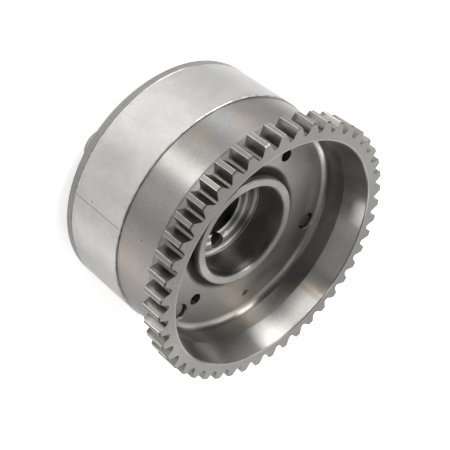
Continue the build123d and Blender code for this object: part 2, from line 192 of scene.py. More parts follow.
# shader groups: the effects that the materials share, and the values that are the same in each of them
groupSet = {
    # lathe lines: how much the drift leans from x to y, and the noise of each layer
    "lean": 0.7, "fine": {"detail": 2.0, "roughness": 0.6}, "coarse": {"detail": 1.0, "roughness": 0.4},
    "stain": {"detail": 4.0, "roughness": 0.55, "distortion": 0.6},
    "grain": {"detail": 3.0, "roughness": 0.6},
    # scratches: factors on x, y and z for each layer, their noise, half their width in it, and where they are
    "layers": ((1.0, 6.0, 2.0), (5.0, 1.0, 1.5)),
    "wave": {"detail": 1.0, "roughness": 0.4, "distortion": 0.4}, "scratchHalf": 0.006,
    "scratched": {"size": 110.0, "low": 0.5, "high": 0.75, "detail": 1.0},
    # edge rings, worn or painted highlight and shade: noise that makes them uneven, its range, and the share
    # of the width that is full
    "wobble": {"size": 400.0}, "wobbleRange": (0.3, 0.7), "ringCoreShare": 0.4,
    # dots: the share of the reach that is fully dark
    "dotShare": 0.5,
}


def startGroup(name, inputs, outputs):
    # inputs: name -> default number, or None for a vector; outputs: name -> socket kind
    tree = bpy.data.node_groups.new(name, "ShaderNodeTree")
    for label, value in inputs.items():
        kind = "NodeSocketVector" if value is None else "NodeSocketFloat"
        socket = tree.interface.new_socket(label, in_out="INPUT", socket_type=kind)
        if value is not None:
            socket.default_value = value
    for label, kind in outputs.items():
        tree.interface.new_socket(label, in_out="OUTPUT", socket_type="NodeSocket" + kind)
    t = Tree(tree)
    return t, t.add("NodeGroupInput", {}).outputs, t.add("NodeGroupOutput", {}).inputs


def makePlace():
    # Where a point is: its place in mm, radius = length of (x, y), height = z, turn = angle of (x, y)
    t, given, out = startGroup("placeOnPart", {"Vector": None}, {
        "Radius": "Float", "Height": "Float", "Turn": "Float", "Millimetres": "Vector"})
    scaled = t.scale(given["Vector"], 1000.0)
    x, y, z = t.add("ShaderNodeSeparateXYZ", {0: scaled}).outputs
    t.give(t.length(x, y), out["Radius"])
    t.give(z, out["Height"])
    t.give(t.times(t.math("ARCTAN2", y, x), math.degrees(1.0)), out["Turn"])
    t.give(scaled, out["Millimetres"])
    return t.tree


def makeTurnedLines(s, place):
    # Lathe lines: noise of (radius, height), one fine and one coarse layer, with a slow drift across the part
    t, given, out = startGroup("turnedLines", {"Vector": None, "Fine": 5.0, "Coarse": 0.7, "Around": 0.05},
                               {"Lines": "Float", "Bands": "Float"})
    spot = t.group(place, {"Vector": given["Vector"]})
    x, y = t.add("ShaderNodeSeparateXYZ", {0: spot["Millimetres"]}).outputs[:2]
    drift = t.times(t.sum(x, (y, s["lean"])), given["Around"])
    point = t.add("ShaderNodeCombineXYZ", {0: spot["Radius"], 1: spot["Height"], 2: drift}).outputs[0]
    t.give(t.noise(point, given["Fine"], **s["fine"]), out["Lines"])
    t.give(t.noise(point, given["Coarse"], **s["coarse"]), out["Bands"])
    return t.tree


def makeMottle(s):
    # Soft stains left by washing and oil: large noise bent by itself, cut off at half of Contrast on both
    # sides of its middle; and a fine grain
    t, given, out = startGroup("softMottle", {"Vector": None, "Size": 60.0, "Fine Size": 900.0,
                                              "Contrast": 0.5}, {"Stain": "Float", "Grain": "Float"})
    large = t.noise(given["Vector"], given["Size"], **s["stain"])
    halfRange = t.times(given["Contrast"], 0.5)
    stain = t.smooth(large, t.math("SUBTRACT", 0.5, halfRange), t.math("ADD", 0.5, halfRange))
    t.give(stain, out["Stain"])
    t.give(t.noise(given["Vector"], given["Fine Size"], **s["grain"]), out["Grain"])
    return t.tree


def makeHandling(s):
    # Fine scratches from handling: thin lines where a stretched noise crosses its middle, kept in blotches
    t, given, out = startGroup("handlingMarks", {"Vector": None, "Scale": 150.0, "Amount": 0.3},
                               {"Scratches": "Float"})
    layers = []
    for factors in s["layers"]:
        wave = t.noise(t.stretch(given["Vector"], factors), given["Scale"], **s["wave"])
        layers.append(t.smooth(t.apart(wave, 0.5), 0.0, s["scratchHalf"], 1.0, 0.0))
    where = t.blotches(given["Vector"], **s["scratched"])
    t.give(t.times(t.math("MAXIMUM", *layers), where, given["Amount"]), out["Scratches"])
    return t.tree


def makeEdgeRing(s, place):
    # A ring on a turned edge, for wear or for painted highlights and shade: 1 at the circle of that radius
    # and height, gone at Width, made Ragged by noise
    t, given, out = startGroup("edgeBand", {"Vector": None, "Edge Radius": 40.0, "Edge Height": 0.0,
                                            "Width": 0.3, "Ragged": 0.4}, {"EdgeRing": "Float"})
    spot = t.group(place, {"Vector": given["Vector"]})
    gap = t.length(t.math("SUBTRACT", spot["Radius"], given["Edge Radius"]),
                   t.math("SUBTRACT", spot["Height"], given["Edge Height"]))
    wobble = t.smooth(t.noise(given["Vector"], **s["wobble"]), *s["wobbleRange"], -1.0, 1.0)
    width = t.times(given["Width"], t.sum(1.0, (wobble, given["Ragged"])))
    t.give(t.smooth(t.math("DIVIDE", gap, width), s["ringCoreShare"], 1.0, 1.0, 0.0), out["EdgeRing"])
    return t.tree


def makePaintedLightBand():
    # Painted light or shade about a turn: Tone times Factor at the turn Middle, fading out at Half Width,
    # inside Where
    t, given, out = startGroup("paintedLightBand", {"Tone": 1.0, "Turn": 0.0, "Middle": 0.0, "Half Width": 10.0,
                                            "Factor": 1.0, "Where": 1.0}, {"Tone": "Float"})
    away = t.apart(given["Turn"], given["Middle"])
    away = t.math("MINIMUM", away, t.math("SUBTRACT", 360.0, away))
    band = t.times(t.smooth(away, 0.0, given["Half Width"], 1.0, 0.0), given["Where"])
    change = t.math("SUBTRACT", given["Factor"], 1.0)
    t.give(t.times(given["Tone"], t.sum(1.0, (band, change))), out["Tone"])
    return t.tree


def makeScribedLine():
    # A line scribed along a wall: 1 within Core of its turn, gone at Reach, in mm; Arc = mm per degree
    t, given, out = startGroup("scribedLine", {"Turn": 0.0, "Line Turn": 0.0, "Arc": 0.7, "Core": 0.1,
                                               "Reach": 0.2}, {"Line": "Float"})
    away = t.times(t.apart(given["Turn"], given["Line Turn"]), given["Arc"])
    t.give(t.smooth(away, given["Core"], given["Reach"], 1.0, 0.0), out["Line"])
    return t.tree


def makePunchedDot(s):
    # A round mark on a wall: 1 about that turn and height, gone at its Reach in mm; Arc as above
    t, given, out = startGroup("punchedDot", {"Turn": 0.0, "Height": 0.0, "Dot Turn": 0.0, "Dot Height": 0.0,
                                              "Arc": 0.7, "Reach": 0.4}, {"Dot": "Float"})
    across = t.times(t.math("SUBTRACT", given["Turn"], given["Dot Turn"]), given["Arc"])
    gap = t.length(across, t.math("SUBTRACT", given["Height"], given["Dot Height"]))
    t.give(t.smooth(gap, t.times(given["Reach"], s["dotShare"]), given["Reach"], 1.0, 0.0), out["Dot"])
    return t.tree


def makeSoftPatch():
    # A soft patch: 1 within Core times its Reach of its middle, gone at its Reach, in mm
    t, given, out = startGroup("softPatch", {"Point": None, "Middle": None, "Reach": 5.0, "Core": 0.0},
                               {"Patch": "Float"})
    gap = t.distance(given["Point"], given["Middle"])
    t.give(t.smooth(gap, t.times(given["Reach"], given["Core"]), given["Reach"], 1.0, 0.0), out["Patch"])
    return t.tree


groups = {"place": makePlace(), "mottle": makeMottle(groupSet), "handling": makeHandling(groupSet),
          "band": makePaintedLightBand(), "scribe": makeScribedLine(), "dot": makePunchedDot(groupSet),
          "patch": makeSoftPatch()}
groups["lines"] = makeTurnedLines(groupSet, groups["place"])
groups["edge"] = makeEdgeRing(groupSet, groups["place"])
print("shader groups made:", len(groups))


# steps that more than one material takes
def startMaterial(name, metallic, anisotropic=0.0):
    material = bpy.data.materials.new(name)
    material.use_nodes = True
    t = Tree(material.node_tree)
    shader = material.node_tree.nodes["Principled BSDF"]
    shader.inputs["Metallic"].default_value = metallic
    if anisotropic:
        # Highlights drawn out across lines that run round the axis, a quarter turn from the tangent
        shader.inputs["Anisotropic"].default_value = anisotropic
        shader.inputs["Anisotropic Rotation"].default_value = 0.25
        tangent = t.add("ShaderNodeTangent", {}, direction_type="RADIAL", axis="Z")
        t.give(tangent.outputs[0], shader.inputs["Tangent"])
    vector = t.add("ShaderNodeTexCoord", {}).outputs["Object"]
    return material, t, shader, vector


def finishMaterial(t, shader, colour, roughness, height, depth):
    # depth: how far in metres the surface rises where height is 1
    t.give(colour, shader.inputs["Base Color"])
    t.give(roughness, shader.inputs["Roughness"])
    bump = t.add("ShaderNodeBump", {"Height": height, "Strength": 1.0, "Distance": depth})
    t.give(bump.outputs[0], shader.inputs["Normal"])


def addPatterns(t, vector, sizes):
    return [t.group(groups[name], {"Vector": vector, **values}) for name, values in sizes.items()]


def addEdge(t, vector, radius, height, width, ragged=0.4):
    return t.group(groups["edge"], {"Vector": vector, "Edge Radius": radius, "Edge Height": height,
                                    "Width": width, "Ragged": ragged})["EdgeRing"]


def addPaintedLightBands(t, tone, turn, paintedLightBands, where=1.0):
    # painted highlight and shade bands: turn, half width in degrees and factor on the tone
    for middle, halfWidth, factor in paintedLightBands:
        tone = t.group(groups["band"], {"Tone": tone, "Turn": turn, "Middle": middle, "Half Width": halfWidth,
                                        "Factor": factor, "Where": where})["Tone"]
    return tone


def addPatch(t, colour, spot, middle, reach, core, share, tint):
    patch = t.group(groups["patch"], {"Point": spot["Millimetres"], "Middle": middle, "Reach": reach,
                                      "Core": core})["Patch"]
    return t.mix(t.times(patch, share), colour, tint)


def addMarks(t, colour, spot, wallRadius, s, linesWhere=1.0):
    # Scribed lines and punched dots on a wall of that radius, as dark as the strongest of them
    arc = math.radians(wallRadius)
    dark = 0.0
    for turn, core, reach, share in s["scribes"]:
        line = t.group(groups["scribe"], {"Turn": spot["Turn"], "Line Turn": turn, "Arc": arc, "Core": core,
                                          "Reach": reach})["Line"]
        dark = t.math("MAXIMUM", dark, t.times(line, share, linesWhere))
    for turn, height, reach in s["dots"]:
        dot = t.group(groups["dot"], {"Turn": spot["Turn"], "Height": spot["Height"], "Dot Turn": turn,
                                      "Dot Height": height, "Arc": arc, "Reach": reach})["Dot"]
        dark = t.math("MAXIMUM", dark, dot)
    return t.mix(dark, colour, s["mark"])


def rgb(r, g, b):
    return (r, g, b, 1.0)


# turned steel of the bell
bellLook = {
    "light": rgb(0.25, 0.246, 0.237), "dark": rgb(0.21, 0.206, 0.197), "warm": rgb(0.275, 0.245, 0.205),
    "cool": rgb(0.225, 0.23, 0.242), "pink": rgb(0.28, 0.235, 0.212), "wearAndSheen": rgb(0.50, 0.49, 0.47),
    "brown": rgb(0.24, 0.195, 0.155), "rust": rgb(0.075, 0.042, 0.022), "mark": rgb(0.10, 0.085, 0.07),
    "anisotropic": 0.9,
    "patterns": {"place": {}, "lines": {"Fine": 4.0, "Coarse": 0.55},
                 "mottle": {"Size": 45.0, "Fine Size": 1300.0, "Contrast": 0.6},
                 "handling": {"Scale": 120.0, "Amount": 0.5}},
    "warmth": {"size": 28.0, "low": 0.5, "high": 0.75, "share": 0.6},
    # darker coarse lathe bands: range of their noise, share; tone of the grain: range of its noise, factors
    "bandRange": (0.3, 0.7), "bandShade": 0.25, "grainRange": (0.3, 0.7), "grainTones": (0.93, 1.07),
    # roughness of the metal, and what lathe lines, stains, the base, the groove and scratches add to it
    "rough": 0.24, "lineRough": 0.08, "stainRough": 0.05, "baseRough": 0.12, "grooveRough": 0.30,
    "scratchRough": 0.15, "lineDepth": 0.0000012,
    # worn edges, the one at the seam also a painted highlight of its chamfer: radius, height, width in mm,
    # share
    "edges": (("bellRadius", "bellZ", 0.35, 1.0), ("rimRadius", "rimZ", 0.35, 0.25),
              ("hubRadius", "hubZ", 0.4, 0.25), ("boreRadius", "hubZ", 0.4, 0.25)),
    # tint patches on the outer wall: turn, height and reach in mm, tint
    "tints": ((-31.0, 35.0, 7.0, "warm"), (-41.0, 36.0, 6.0, "cool"), (-51.0, 39.0, 6.0, "pink"),
              (33.0, 34.0, 15.0, "pink")),
    "tintShare": 0.75,
    # brown oil stains, on the base and on the cone beside the scribed lines: middle and reach in mm, share
    "oilStains": (((-19.5, 21.5, 39.4), 16.0, 0.45), ((-38.5, 7.5, 53.0), 5.5, 0.55)), "oilCore": 0.3,
    # rust spot on the base, in mm: middle, the noise that breaks its edge and how far, core and reach
    "rustSpot": {"middle": (-22.95, 21.2, 39.4), "noise": {"size": 1100.0, "roughness": 0.6}, "ragged": 3.4,
                 "core": 0.7, "reach": 1.6, "share": 0.95},
    # two scribed lines down the cone: turn, core and reach in mm, share
    "scribes": ((164.2, 0.08, 0.22, 0.8), (165.3, 0.08, 0.22, 0.8)),
    # a dot on the outer wall: turn, height and reach in mm
    "dots": ((18.6, 38.28, 0.40),),
    # the lands of the teeth: factor on the colour, wear of their edges, and how far in it starts, in degrees
    "landTone": 0.76, "landWear": 0.8, "landFrom": 0.20, "landTo": 0.10,
    # painted light and shade on each turned face: a factor on its tone (brightened as a painted highlight on
    # the cone, wall, fillet and bore's end, darkened as painted shade in the groove), and painted highlight
    # and shade bands: turn, half width in degrees, factor
    "paintedFaceLight": {
        "cone": (1.42, ((171.0, 6.0, 2.0), (-138.0, 12.0, 1.7), (80.0, 14.0, 0.55))),
        "wall": (1.5, ((150.0, 14.0, 2.2), (88.0, 14.0, 0.55), (-112.0, 14.0, 0.5))),
        "boreEnd": (4.0, ()),
        "bore": (1.08, ((108.0, 28.0, 0.60),)),
        "outerWall": (1.0, ((-68.0, 17.0, 0.52), (-54.0, 10.0, 0.85), (-34.0, 9.0, 0.75), (-15.0, 11.0, 1.45),
                            (10.0, 12.0, 0.76), (34.0, 12.0, 1.10), (62.0, 18.0, 0.48))),
        "fillet": (1.65, ((-112.0, 55.0, 1.6), (-92.0, 16.0, 0.5), (136.0, 14.0, 0.72))),
        "nearHub": (1.0, ((-86.0, 28.0, 1.35), (172.0, 20.0, 0.60))),
        "nearFillet": (1.0, ((-148.0, 30.0, 2.0), (153.0, 14.0, 2.0), (-113.0, 12.0, 0.75))),
        "rimFace": (0.82, ()), "hubFace": (1.25, ()), "groove": (0.25, ()),
    },
    # painted shade in the corner behind the teeth and on the rounding there
    "paintedShadeFactors": {"corner": 0.8, "rounding": 0.8},
    # painted shade on the chamfers at the front, inside the rim and at the tooth tips, which dims their
    # highlights: factor, the tips' share of it, and the reach of the rim's as a multiple of its size, with
    # how ragged it is
    "chamferShade": 0.60, "tipShare": 0.35, "chamferReach": 1.3, "chamferRagged": 0.1,
}

# Where each face of the bell is. Each limit: along radius or height, a measure of the part, and in mm from it
# where the face has not begun and where it is full
innerSide = (("Radius", "bellRadius", -0.4, -0.7), ("Radius", "cupRadius", -0.3, -0.05))
outerSide = (("Radius", "bellRadius", -0.7, -0.4), ("Height", "toothZ", 0.0, -0.3))
aboveBase = ("Height", "baseZ", -0.2, -0.1)
lowInCup = ("Height", "baseZ", 2.2, 1.6)
flatBase = (("Radius", "cupRadius", -0.4, -1.6), aboveBase)
bellZones = {
    "lands": (("Radius", "tipRadius", -0.3, -0.05),),
    "teeth": (("Height", "toothZ", -0.2, -0.1), ("Radius", "rootRadius", -0.2, -0.1)),
    "flanks": (("Radius", "tipRadius", -0.12, -0.3),),
    "roots": (("Radius", "rootRadius", 0.14, 0.02),),
    "frontEnds": (("Height", "rimZ", -2.2, -0.8),),
    "tips": (("Radius", "tipRadius", -0.6, -0.4), ("Height", "rimZ", -0.5, -0.3)),
    "cone": (*innerSide, ("Height", "coneZ", -0.05, 0.05)),
    "wall": (*innerSide, ("Height", "baseZ", 2.0, 2.6), ("Height", "coneZ", 0.05, -0.05)),
    "bore": (("Radius", "boreRadius", 0.2, 0.1),),
    "boreEnd": (("Radius", "boreRadius", 0.2, 0.1), ("Height", "bellZ", 0.8, 0.5)),
    "outerWall": outerSide,
    "corner": (*outerSide, ("Height", "toothZ", -1.4, -0.4)),
    "rounding": (*outerSide, ("Radius", "bellRadius", 0.02, 0.25)),
    "fillet": (("Radius", "cupRadius", -2.4, -1.6), ("Radius", "cupRadius", -0.3, -0.9), lowInCup, aboveBase),
    "base": flatBase,
    "nearHub": (("Radius", "hubRadius", 11.36, 3.36), *flatBase, lowInCup),
    "nearFillet": (("Radius", "cupRadius", -9.22, -4.22), *flatBase, lowInCup),
    "rimFace": (("Height", "rimZ", -0.1, -0.02),),
    "hubFace": (("Height", "hubZ", -0.1, -0.02), ("Radius", "hubRadius", 0.2, 0.1)),
    "groove": (("Radius", "hubRadius", 3.6, 1.6), ("Radius", "hubRadius", -0.1, -0.02),
               ("Height", "baseZ", 1.2, 0.1)),
}

# The gaps between the bell's teeth: painted shade on the flanks and roots, and a painted highlight line down
# each root
gapLook = {
    "root": rgb(0.11, 0.10, 0.085), "rootLine": rgb(0.17, 0.163, 0.15), "oil": rgb(0.20, 0.175, 0.11),
    "flankShaded": rgb(0.085, 0.081, 0.073), "flankLit": rgb(0.22, 0.213, 0.197),
    # a face is a flank or a root where its normal's z is under the first value, and not over the second
    "steep": (0.3, 0.5),
    # streaks drawn out along the axis: factors on x, y and z, their noise, and how much they lighten a flank
    "stretch": (1.0, 1.0, 0.12), "lighten": 0.5,
    "streaks": {"size": 2200.0, "low": 0.35, "high": 0.65, "roughness": 0.6},
    # painted shade on a flank: a base value, what it has at the flank's root and tip, and what its rear end
    # adds over some mm
    "darkness": 0.2, "atRoot": 1.0, "atTip": 0.25, "margin": 0.4, "rear": 0.6, "rearFrom": 0.2, "rearTo": 3.0,
    # the painted highlight line down a root, yellower at the front end: half its width and where it is gone,
    # in degrees
    "lineCore": 0.05, "lineReach": 0.22,
}


def addBellTints(t, vector, spot, lines, mottle, s):
    # Dark and light steel by stain, warmed in patches, shaded in coarse lathe bands, tinted on the outer wall
    colour = t.mix(mottle["Stain"], s["dark"], s["light"])
    colour = t.mix(t.blotches(vector, **s["warmth"]), colour, s["warm"])
    colour = t.mix(t.smooth(lines["Bands"], *s["bandRange"], 0.0, s["bandShade"]), colour, s["dark"])
    for turn, height, reach, tint in s["tints"]:
        around = math.radians(turn)
        middle = (part["bellRadius"] * math.cos(around), part["bellRadius"] * math.sin(around), height)
        colour = addPatch(t, colour, spot, middle, reach, 0.0, s["tintShare"], s[tint])
    return colour


def measureFromTooth(t, turn, pitch):
    # Degrees from the middle of the nearest tooth
    inPitch = t.math("FRACT", t.math("DIVIDE", t.math("SUBTRACT", turn, part["firstGap"]), pitch))
    return t.times(t.apart(inPitch, 0.5), pitch)


def addBellWear(t, colour, vector, zones, fromTooth, s):
    # Worn bright on the turned edges, at the seam also as a painted highlight, and thinly along both edges of
    # each tooth's land
    wear = 0.0
    for radius, height, width, share in s["edges"]:
        edge = addEdge(t, vector, part[radius], part[height], width)
        wear = t.math("MAXIMUM", wear, t.times(edge, share))
    landEdge = t.smooth(fromTooth, part["landHalf"] - s["landFrom"], part["landHalf"] - s["landTo"])
    wear = t.math("MAXIMUM", wear, t.times(zones["lands"], landEdge, s["landWear"]))
    colour = t.scale(colour, t.sum(1.0, (zones["lands"], s["landTone"] - 1.0)))
    return t.mix(wear, colour, s["wearAndSheen"])


def addToothGaps(t, colour, vector, spot, zones, fromGap, s):
    # The steep faces outside the root circle: streaked flanks in painted shade, and roots in painted shade
    # with a painted highlight line, yellower at the front end
    normal = t.add("ShaderNodeNewGeometry", {}).outputs["True Normal"]
    upright = t.math("ABSOLUTE", t.add("ShaderNodeSeparateXYZ", {0: normal}).outputs[2])
    gaps = t.times(t.smooth(upright, *s["steep"], 1.0, 0.0), zones["teeth"])
    streaks = t.blotches(t.stretch(vector, s["stretch"]), **s["streaks"])
    depthShade = t.smooth(spot["Radius"], part["rootRadius"] + s["margin"], part["tipRadius"] - s["margin"],
                    s["atRoot"], s["atTip"])
    rear = t.smooth(spot["Height"], part["toothZ"] + s["rearFrom"], part["toothZ"] + s["rearTo"],
                    s["rear"], 0.0)
    # painted shade on the flanks, deepest at the root and the rear end, lightened by streaks
    darkness = t.sum(s["darkness"], (depthShade, 1.0), (rear, 1.0), (streaks, -s["lighten"]))
    flank = t.mix(darkness, s["flankLit"], s["flankShaded"])
    line = t.smooth(fromGap, s["lineCore"], s["lineReach"], 1.0, 0.0)
    root = t.mix(line, s["root"], t.mix(zones["frontEnds"], s["rootLine"], s["oil"]))
    colour = t.mix(t.times(gaps, zones["flanks"]), colour, flank)
    return t.mix(t.times(gaps, zones["roots"]), colour, root)


def addBellStains(t, colour, vector, spot, s):
    for middle, reach, share in s["oilStains"]:
        colour = addPatch(t, colour, spot, middle, reach, s["oilCore"], share, s["brown"])
    rust = s["rustSpot"]
    uneven = t.math("SUBTRACT", t.noise(vector, **rust["noise"]), 0.5)
    gap = t.sum(t.distance(spot["Millimetres"], rust["middle"]), (uneven, rust["ragged"]))
    return t.mix(t.smooth(gap, rust["core"], rust["reach"], rust["share"], 0.0), colour, s["rust"])


def addBellTone(t, vector, turn, mottle, zones, s):
    # The factor on the colour, mostly painted light and shade: 1, moved on each face, in painted highlight
    # and shade bands, darkened by painted shade behind the teeth, varied a little by the grain, and darkened
    # by painted shade on the chamfers
    tone = 1.0
    # painted light and shade: a factor on each face, and painted highlight and shade bands by turn
    for zone, (factor, paintedLightBands) in s["paintedFaceLight"].items():
        tone = t.sum(tone, (zones[zone], factor - 1.0))
        tone = addPaintedLightBands(t, tone, turn, paintedLightBands, zones[zone])
    # painted shade behind the teeth: in the corner and on the rounding
    for zone, factor in s["paintedShadeFactors"].items():
        tone = t.times(tone, t.sum(1.0, (zones[zone], factor - 1.0)))
    tone = t.times(tone, t.smooth(mottle["Grain"], *s["grainRange"], *s["grainTones"]))
    # painted shade on the chamfers inside the rim and at the tooth tips
    halfChamfer = part["rimChamfer"] / 2
    inRim = addEdge(t, vector, part["rimRadius"] + halfChamfer, part["rimZ"] - halfChamfer,
                    part["rimChamfer"] * s["chamferReach"], s["chamferRagged"])
    chamfers = t.math("MAXIMUM", inRim, t.times(zones["tips"], s["tipShare"]))
    return t.times(tone, t.sum(1.0, (chamfers, s["chamferShade"] - 1.0)))


def makeBellSteel(s, gap):
    # colour = tinted steel, worn on its edges, in painted shade with a painted highlight line in the tooth
    # gaps, stained and marked, times a tone that is mostly painted light and shade;
    # roughness = base value plus lathe lines, stains and scratches; height = lathe lines
    material, t, shader, vector = startMaterial("bellSteel", 1.0, s["anisotropic"])
    spot, lines, mottle, marks = addPatterns(t, vector, s["patterns"])
    zones = {name: t.within(spot, limits) for name, limits in bellZones.items()}
    pitch = 360.0 / part["teeth"]
    fromTooth = measureFromTooth(t, spot["Turn"], pitch)
    colour = addBellTints(t, vector, spot, lines, mottle, s)
    colour = addBellWear(t, colour, vector, zones, fromTooth, s)
    colour = addToothGaps(t, colour, vector, spot, zones, t.math("SUBTRACT", pitch / 2, fromTooth), gap)
    colour = addBellStains(t, colour, vector, spot, s)
    colour = addMarks(t, colour, spot, part["bellRadius"], s, zones["cone"])
    colour = t.scale(colour, addBellTone(t, vector, spot["Turn"], mottle, zones, s))
    roughness = t.sum(s["rough"], (lines["Lines"], s["lineRough"]), (mottle["Stain"], s["stainRough"]),
                      (zones["base"], s["baseRough"]), (zones["groove"], s["grooveRough"]),
                      (marks["Scratches"], s["scratchRough"]))
    finishMaterial(t, shader, colour, roughness, lines["Lines"], s["lineDepth"])
    return material


# aluminium of the stator
statorLook = {
    "light": rgb(0.456, 0.452, 0.442), "dark": rgb(0.366, 0.363, 0.355), "wearAndSheen": rgb(0.75, 0.75, 0.74),
    "mark": rgb(0.16, 0.155, 0.14), "smudge": rgb(0.355, 0.35, 0.338), "speck": rgb(0.24, 0.235, 0.22),
    "anisotropic": 0.4,
    "patterns": {"place": {}, "lines": {"Fine": 3.0, "Coarse": 0.4},
                 "mottle": {"Size": 70.0, "Fine Size": 1100.0, "Contrast": 0.5},
                 "handling": {"Scale": 160.0, "Amount": 0.6}},
    "grainRange": (0.35, 0.65), "grainShare": 0.3,
    "rough": 0.42, "grainRough": 0.12, "scratchRough": 0.1, "lineHeight": 0.5, "depth": 0.000008,
    # smudges drawn out along the axis, stronger ones about one turn, and small dark specks
    "stretch": (1.0, 1.0, 0.45),
    "smudges": {"size": 160.0, "low": 0.48, "high": 0.78, "share": 0.5, "detail": 3.0, "roughness": 0.55,
                "distortion": 0.5},
    "underTurn": 26.0, "underHalf": 6.0, "underShare": 0.8,
    "underSmudges": {"size": 420.0, "low": 0.40, "high": 0.62, "detail": 3.0, "roughness": 0.6,
                     "distortion": 0.8},
    "specks": {"size": 1500.0, "low": 0.68, "high": 0.80, "share": 0.45, "detail": 1.0, "roughness": 0.4},
    # painted highlight and shade bands by turn: turn, half width in degrees, factor on the tone
    "paintedLightBands": ((-56.0, 28.0, 0.80), (-4.0, 14.0, 0.93), (36.0, 14.0, 1.22)),
    # scribed lines: turn, core and reach in mm, share
    "scribes": ((21.2, 0.065, 0.208, 0.9), (-19.7, 0.05, 0.16, 0.12)),
    # a dot: turn, height and reach in mm
    "dots": ((19.1, 14.63, 0.42),),
    # worn ends, the one at the seam also a painted highlight of its chamfer: height and width in mm
    "ends": (("bellZ", 0.25), ("statorZ", 0.35)),
}


def makeStatorAluminium(s):
    # colour = light aluminium mottled darker, smudged and specked, with a scribed line, a dot, painted
    # highlight and shade bands and worn ends, at the seam also a painted highlight;
    # roughness = base value plus grain and scratches; height = grain and lathe lines less scratches
    material, t, shader, vector = startMaterial("statorAluminium", 1.0, s["anisotropic"])
    spot, lines, mottle, marks = addPatterns(t, vector, s["patterns"])
    colour = t.mix(mottle["Stain"], s["dark"], s["light"])
    colour = t.mix(t.smooth(mottle["Grain"], *s["grainRange"], 0.0, s["grainShare"]), colour, s["dark"])
    drawnOut = t.stretch(vector, s["stretch"])
    colour = t.mix(t.blotches(drawnOut, **s["smudges"]), colour, s["smudge"])
    under = t.smooth(t.apart(spot["Turn"], s["underTurn"]), 0.0, s["underHalf"], s["underShare"], 0.0)
    colour = t.mix(t.times(under, t.blotches(drawnOut, **s["underSmudges"])), colour, s["smudge"])
    colour = t.mix(t.blotches(vector, **s["specks"]), colour, s["speck"])
    colour = addMarks(t, colour, spot, part["statorRadius"], s)
    # painted highlight and shade bands by turn
    colour = t.scale(colour, addPaintedLightBands(t, 1.0, spot["Turn"], s["paintedLightBands"]))
    # worn ends, the one at the seam also a painted highlight
    wears = [addEdge(t, vector, part["statorRadius"], part[end], width) for end, width in s["ends"]]
    colour = t.mix(t.math("MAXIMUM", *wears), colour, s["wearAndSheen"])
    roughness = t.sum(s["rough"], (mottle["Grain"], s["grainRough"]), (marks["Scratches"], s["scratchRough"]))
    height = t.sum(mottle["Grain"], (lines["Lines"], s["lineHeight"]), (marks["Scratches"], -1.0))
    finishMaterial(t, shader, colour, roughness, height, s["depth"])
    return material


# plainer metals and the seals: what they share, then each one's own values
plainShared = {
    "metallic": 1.0, "ragged": 0.4, "edges": (), "highlightSpots": (), "spotCore": 0.4,
    "patterns": {"place": {}, "lines": {"Fine": 3.5, "Coarse": 0.6},
                 "mottle": {"Size": 120.0, "Fine Size": 1000.0, "Contrast": 0.6}},
    "bandShare": 0.5, "stainShare": 0.6, "grainRough": 0.15, "grainHeight": 0.5, "depth": 0.000006,
}
plainLooks = {
    "coverSteel": {
        "light": rgb(0.25, 0.246, 0.238), "dark": rgb(0.19, 0.186, 0.178), "rough": 0.34,
        # radius, height, width in mm and tone: the worn front edge, also a painted highlight, and painted
        # shade on the bevel
        "edges": ((part["statorRadius"], part["statorZ"], 0.4, rgb(0.35, 0.345, 0.335)),
                  (41.6, 3.3, 0.7, rgb(0.15, 0.15, 0.15)))},
    "screwSteel": {
        "light": rgb(0.36, 0.365, 0.34), "dark": rgb(0.22, 0.225, 0.20), "rough": 0.36,
        # painted shade in the corner under the cover: heights where it begins and is full, and where it ends
        "coverShade": rgb(0.06, 0.06, 0.055), "coverShadeFrom": 1.7, "coverShadeTo": 2.6,
        "coverShadeEnd": (("Height", "coverZ", 0.4, 0.2),)},
    "dowelSteel": {"light": rgb(0.30, 0.30, 0.29), "dark": rgb(0.22, 0.22, 0.21), "rough": 0.40},
    "bushSteel": {"light": rgb(0.50, 0.49, 0.47), "dark": rgb(0.40, 0.39, 0.37), "rough": 0.28},
    "rotorAluminium": {
        "light": rgb(0.66, 0.65, 0.62), "dark": rgb(0.56, 0.55, 0.52), "rough": 0.52, "ragged": 0.1,
        # radius, height, width in mm and tone: painted highlight and shade rings on the stepped seat
        "edges": ((14.9, 28.7, 0.80, rgb(0.45, 0.44, 0.42)), (11.5, 27.8, 1.00, rgb(0.30, 0.295, 0.285)),
                  (12.6, 28.6, 0.70, rgb(0.85, 0.84, 0.82)), (10.8, 27.2, 0.50, rgb(0.80, 0.79, 0.77)),
                  (16.2, 28.7, 0.90, rgb(0.90, 0.89, 0.87))),
        # painted highlight and shade bands: turn, half width in degrees, factor on the tone
        "paintedLightBands": ((176.0, 22.0, 0.55), (-158.0, 24.0, 1.45), (148.0, 9.0, 1.15), (-120.0, 25.0, 0.7)),
        # painted shade down the bore: the heights between which it fades, and the factor below them
        "depthShade": (26.6, 27.1, 0.35),
        # middle and reach in mm, and tone of painted highlight spots: on the seat and in the dowel's pocket
        "highlightSpots": (((-10.80, 6.20, 28.35), 1.0, rgb(0.85, 0.84, 0.82)),
                  ((-10.83, 10.32, 26.2), 1.4, rgb(0.85, 0.84, 0.80)))},
    "pinSteel": {"light": rgb(0.52, 0.51, 0.49), "dark": rgb(0.42, 0.41, 0.39), "rough": 0.24},
    "springSteel": {"light": rgb(0.42, 0.41, 0.39), "dark": rgb(0.28, 0.27, 0.26), "rough": 0.30},
    "seatSteel": {"light": rgb(0.46, 0.45, 0.43), "dark": rgb(0.34, 0.33, 0.32), "rough": 0.36},
    "sealPlastic": {"light": rgb(0.055, 0.05, 0.045), "dark": rgb(0.03, 0.028, 0.025), "rough": 0.55,
                    "metallic": 0.0},
}


